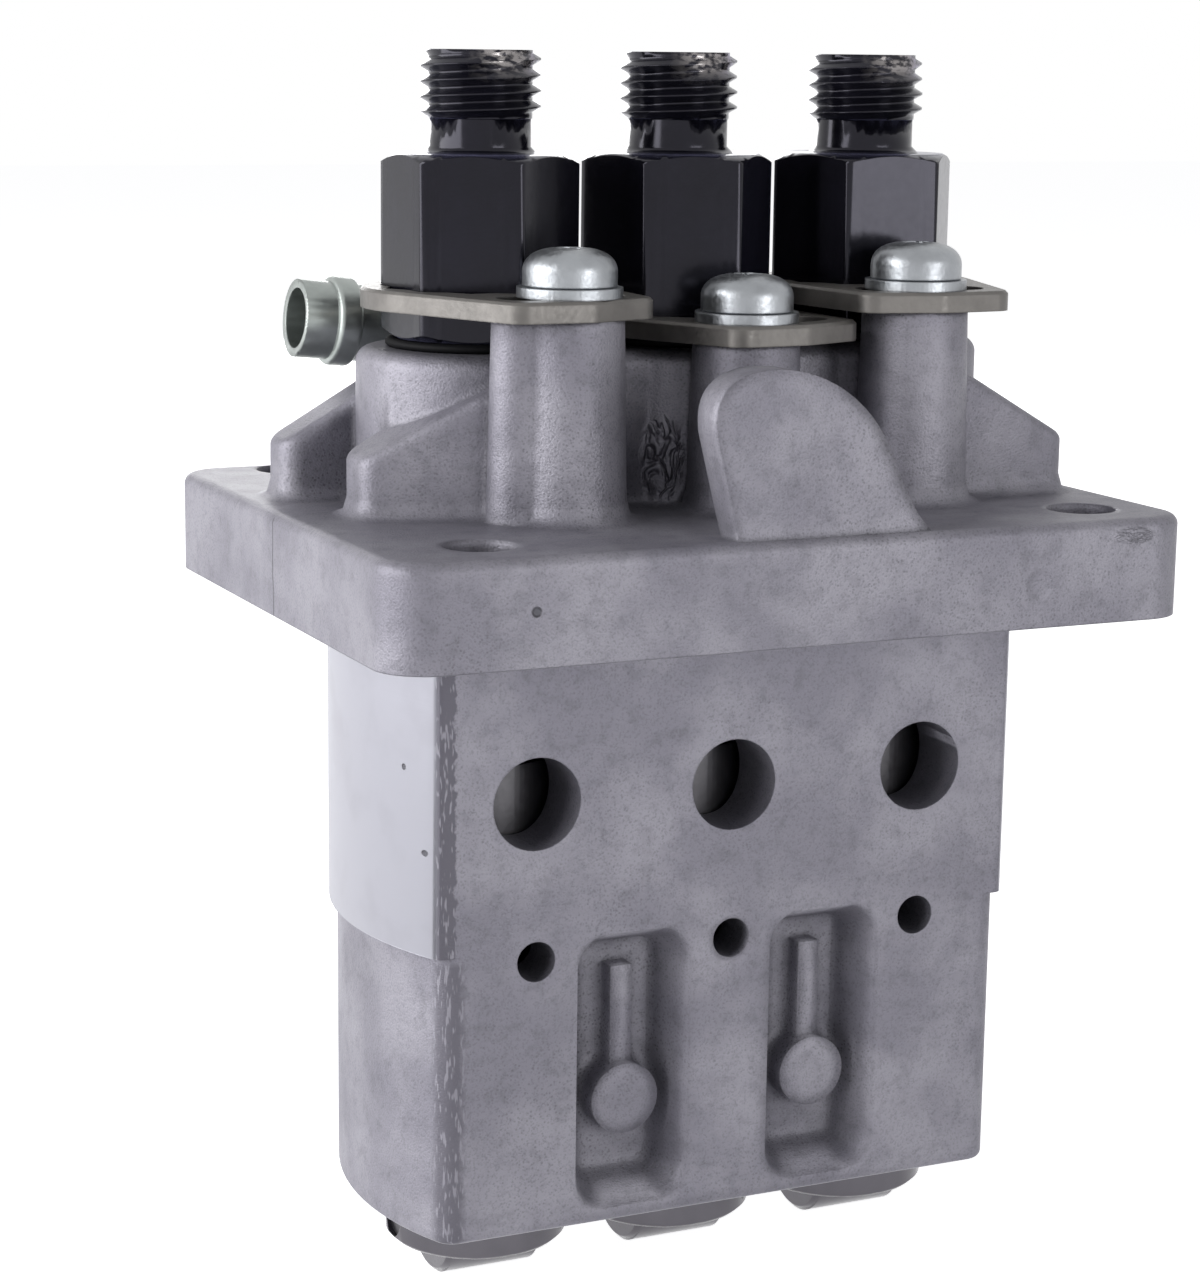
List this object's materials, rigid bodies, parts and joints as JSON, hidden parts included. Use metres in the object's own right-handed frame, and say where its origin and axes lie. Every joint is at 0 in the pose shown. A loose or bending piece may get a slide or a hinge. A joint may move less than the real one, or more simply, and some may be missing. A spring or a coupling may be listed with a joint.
{
  "type": "diesel injection pump",
  "caption": "In-line plunger injection pump with a bolt-on flange, roller tappets below, threaded delivery valve holders on top and a sliding control rack",
  "frame": {"origin": "centre of the four flange bolt holes on the flange's underside, on the middle element's axis", "axes": "+X along the row of pump elements, +Y to the rack side, +Z to the high-pressure outlets"},
  "size_m": [0.0851, 0.0662, 0.1258],
  "materials": {
    "cast_aluminium": "blasted casting, machined ends",
    "black_oxide_steel": "black oxide, oiled",
    "plate_steel": "dull, worn edges",
    "bright_zinc": "bright zinc plating",
    "dull_zinc": "greenish zinc plating",
    "polished_steel": "ground and polished",
    "hard_steel": "ground",
    "rolled_steel": "plain, oiled",
    "spring_steel": "oil tempered",
    "copper": "soft copper",
    "black_rubber": "matte"
  },
  "bodies": {
    "pump_body": {"pump_housing": "cast_aluminium", "delivery_valve_holder_1": "black_oxide_steel", "delivery_valve_holder_2": "black_oxide_steel", "delivery_valve_holder_3": "black_oxide_steel", "holder_seals": "black_rubber", "valve_seat_gaskets": "copper", "barrel_dowels": "hard_steel", "delivery_valve_seat_1": "hard_steel", "delivery_valve_seat_2": "hard_steel", "delivery_valve_seat_3": "hard_steel", "delivery_valve_spring_1": "spring_steel", "delivery_valve_spring_2": "spring_steel", "delivery_valve_spring_3": "spring_steel", "plunger_barrel_1": "hard_steel", "plunger_barrel_2": "hard_steel", "plunger_barrel_3": "hard_steel", "upper_spring_seat_1": "rolled_steel", "upper_spring_seat_2": "rolled_steel", "upper_spring_seat_3": "rolled_steel", "plunger_spring_1": "spring_steel", "plunger_spring_2": "spring_steel", "plunger_spring_3": "spring_steel", "lock_plate_1": "plate_steel", "lock_plate_2": "plate_steel", "lock_plate_3": "plate_steel", "lock_plate_washers": "bright_zinc", "lock_plate_screws": "bright_zinc", "rack_guide_screws": "hard_steel", "tappet_guide_pins": "hard_steel", "fuel_inlet_elbow": "dull_zinc"},
    "rack": {"control_rack": "rolled_steel", "rack_link_pin": "hard_steel"},
    "sleeve_1": {"control_sleeve_1": "rolled_steel"},
    "tappet_1": {"tappet_1": "polished_steel", "roller_pin_1": "hard_steel", "lower_spring_seat_1": "rolled_steel"},
    "roller_1": {"tappet_roller_1": "polished_steel"},
    "plunger_1": {"plunger_1": "hard_steel"},
    "valve_1": {"delivery_valve_1": "hard_steel"},
    "sleeve_2": {"control_sleeve_2": "rolled_steel"},
    "tappet_2": {"tappet_2": "polished_steel", "roller_pin_2": "hard_steel", "lower_spring_seat_2": "rolled_steel"},
    "roller_2": {"tappet_roller_2": "polished_steel"},
    "plunger_2": {"plunger_2": "hard_steel"},
    "valve_2": {"delivery_valve_2": "hard_steel"},
    "sleeve_3": {"control_sleeve_3": "rolled_steel"},
    "tappet_3": {"tappet_3": "polished_steel", "roller_pin_3": "hard_steel", "lower_spring_seat_3": "rolled_steel"},
    "roller_3": {"tappet_roller_3": "polished_steel"},
    "plunger_3": {"plunger_3": "hard_steel"},
    "valve_3": {"delivery_valve_3": "hard_steel"}
  },
  "joints": [
    {"name": "rack_slide", "type": "slide", "parent": "pump_body", "child": "rack", "axis": [1, 0, 0], "range_m": [-0.006, 0.006]},
    {"name": "sleeve_turn_1", "type": "hinge", "parent": "pump_body", "child": "sleeve_1", "pos_m": [-0.0216, 0, -0.023], "axis": [0, 0, 1], "range_deg": [-20.5, 20.5]},
    {"name": "tappet_lift_1", "type": "slide", "parent": "pump_body", "child": "tappet_1", "axis": [0, 0, 1], "range_m": [0, 0.007], "stiffness_N_per_m": 8000, "springref_m": -0.006, "deforming": ["plunger_spring_1"]},
    {"name": "plunger_turn_1", "type": "hinge", "parent": "tappet_1", "child": "plunger_1", "pos_m": [-0.0216, 0, -0.03], "axis": [0, 0, 1], "range_deg": [-20.5, 20.5]},
    {"name": "roller_spin_1", "type": "hinge", "parent": "tappet_1", "child": "roller_1", "pos_m": [-0.0216, 0, -0.065], "axis": [1, 0, 0], "continuous": true},
    {"name": "valve_lift_1", "type": "slide", "parent": "pump_body", "child": "valve_1", "axis": [0, 0, 1], "range_m": [0, 0.002], "stiffness_N_per_m": 1500, "springref_m": -0.003, "deforming": ["delivery_valve_spring_1"]},
    {"name": "sleeve_turn_2", "type": "hinge", "parent": "pump_body", "child": "sleeve_2", "pos_m": [0, 0, -0.023], "axis": [0, 0, 1], "range_deg": [-20.5, 20.5]},
    {"name": "tappet_lift_2", "type": "slide", "parent": "pump_body", "child": "tappet_2", "axis": [0, 0, 1], "range_m": [0, 0.007], "stiffness_N_per_m": 8000, "springref_m": -0.006, "deforming": ["plunger_spring_2"]},
    {"name": "plunger_turn_2", "type": "hinge", "parent": "tappet_2", "child": "plunger_2", "pos_m": [0, 0, -0.03], "axis": [0, 0, 1], "range_deg": [-20.5, 20.5]},
    {"name": "roller_spin_2", "type": "hinge", "parent": "tappet_2", "child": "roller_2", "pos_m": [0, 0, -0.065], "axis": [1, 0, 0], "continuous": true},
    {"name": "valve_lift_2", "type": "slide", "parent": "pump_body", "child": "valve_2", "axis": [0, 0, 1], "range_m": [0, 0.002], "stiffness_N_per_m": 1500, "springref_m": -0.003, "deforming": ["delivery_valve_spring_2"]},
    {"name": "sleeve_turn_3", "type": "hinge", "parent": "pump_body", "child": "sleeve_3", "pos_m": [0.0216, 0, -0.023], "axis": [0, 0, 1], "range_deg": [-20.5, 20.5]},
    {"name": "tappet_lift_3", "type": "slide", "parent": "pump_body", "child": "tappet_3", "axis": [0, 0, 1], "range_m": [0, 0.007], "stiffness_N_per_m": 8000, "springref_m": -0.006, "deforming": ["plunger_spring_3"]},
    {"name": "plunger_turn_3", "type": "hinge", "parent": "tappet_3", "child": "plunger_3", "pos_m": [0.0216, 0, -0.03], "axis": [0, 0, 1], "range_deg": [-20.5, 20.5]},
    {"name": "roller_spin_3", "type": "hinge", "parent": "tappet_3", "child": "roller_3", "pos_m": [0.0216, 0, -0.065], "axis": [1, 0, 0], "continuous": true},
    {"name": "valve_lift_3", "type": "slide", "parent": "pump_body", "child": "valve_3", "axis": [0, 0, 1], "range_m": [0, 0.002], "stiffness_N_per_m": 1500, "springref_m": -0.003, "deforming": ["delivery_valve_spring_3"]}
  ],
  "couplings": [
    {"joint": "sleeve_turn_1", "follows": "rack_slide", "rad_per_m": -59},
    {"joint": "plunger_turn_1", "follows": "rack_slide", "rad_per_m": -59},
    {"joint": "sleeve_turn_2", "follows": "rack_slide", "rad_per_m": -59},
    {"joint": "plunger_turn_2", "follows": "rack_slide", "rad_per_m": -59},
    {"joint": "sleeve_turn_3", "follows": "rack_slide", "rad_per_m": -59},
    {"joint": "plunger_turn_3", "follows": "rack_slide", "rad_per_m": -59}
  ]
}
